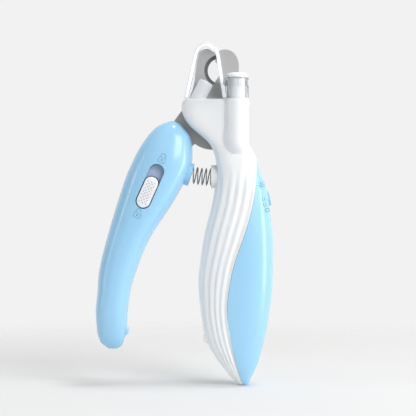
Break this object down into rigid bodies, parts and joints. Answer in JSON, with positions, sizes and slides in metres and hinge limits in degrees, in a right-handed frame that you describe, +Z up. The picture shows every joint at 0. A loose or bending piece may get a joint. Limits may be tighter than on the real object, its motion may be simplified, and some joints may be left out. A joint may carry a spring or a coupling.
{
  "type": "pet nail clipper",
  "caption": "Plier-type pet nail clipper with two curved handles, ring-notch blades, LED lamp, hinged clear splash cover, return spring and handle lock.",
  "frame": {"origin": "centre of the bounding box in plan, at the level of the fixed handle's tip", "axes": "+Z up along the fixed handle towards the blades, -Y the front (LED side), +X towards the fixed handle's spine"},
  "size_m": [0.0648, 0.0206, 0.1238],
  "materials": {
    "white_plastic": "satin-gloss moulded ABS",
    "blue_plastic": "gloss moulded ABS, light blue",
    "clear_plastic": "clear moulded polycarbonate",
    "blade_steel": "ground stainless steel, satin",
    "zinc_steel": "zinc plated steel",
    "spring_steel": "drawn spring wire and strip",
    "cell_steel": "nickel plated steel can",
    "contact_metal": "nickel plated brass",
    "nylon": "natural nylon",
    "led_epoxy": "clear LED epoxy",
    "wire_insulation": "PVC insulation",
    "board": "glass fibre board with green mask",
    "component": "lacquered resistor body",
    "dark_plastic": "black nylon",
    "bed_plastic": "matt grey-blue plastic"
  },
  "bodies": {
    "body": {"front_housing": "white_plastic", "rear_housing": "white_plastic", "spine_cover": "blue_plastic", "housing_screws": "zinc_steel", "fixed_blade": "blade_steel", "blade_pins": "zinc_steel", "pivot_pin": "zinc_steel", "pivot_washer": "nylon", "lamp_tube": "white_plastic", "led": "led_epoxy", "lamp_wires": "wire_insulation", "cover_post": "white_plastic", "post_cap": "white_plastic", "spring_cup": "white_plastic", "return_spring": "spring_steel", "circuit_board": "board", "resistor": "component", "switch_body": "dark_plastic", "battery_holder": "dark_plastic", "button_cells": "cell_steel", "contact_plate": "contact_metal", "contact_spring": "contact_metal"},
    "lever": {"lever_front_shell": "blue_plastic", "lever_rear_shell": "blue_plastic", "lever_screws": "zinc_steel", "moving_blade": "blade_steel", "spring_boss": "blue_plastic", "lock_bed": "bed_plastic"},
    "cover": {"splash_cover": "clear_plastic"},
    "lock": {"lock_slider": "white_plastic", "lock_latch": "spring_steel"},
    "light_switch": {"switch_knob": "white_plastic"}
  },
  "joints": [
    {"name": "handle_hinge", "type": "hinge", "parent": "body", "child": "lever", "pos_m": [0.01004, 0.00023, 0.0957], "axis": [0, -1, 0], "range_deg": [0, 17.5], "stiffness_Nm_per_rad": 0.6, "springref_deg": -14.32, "deforming": ["return_spring"]},
    {"name": "cover_hinge", "type": "hinge", "parent": "body", "child": "cover", "pos_m": [0.01894, -0.00597, 0.104], "axis": [0, 0, 1], "range_deg": [0, 140]},
    {"name": "lock_slide", "type": "slide", "parent": "lever", "child": "lock", "axis": [0.4083, 0, 0.9128], "range_m": [0, 0.0047]},
    {"name": "switch_slide", "type": "slide", "parent": "body", "child": "light_switch", "axis": [-0.2419, 0, 0.9703], "range_m": [0, 0.0025]}
  ]
}
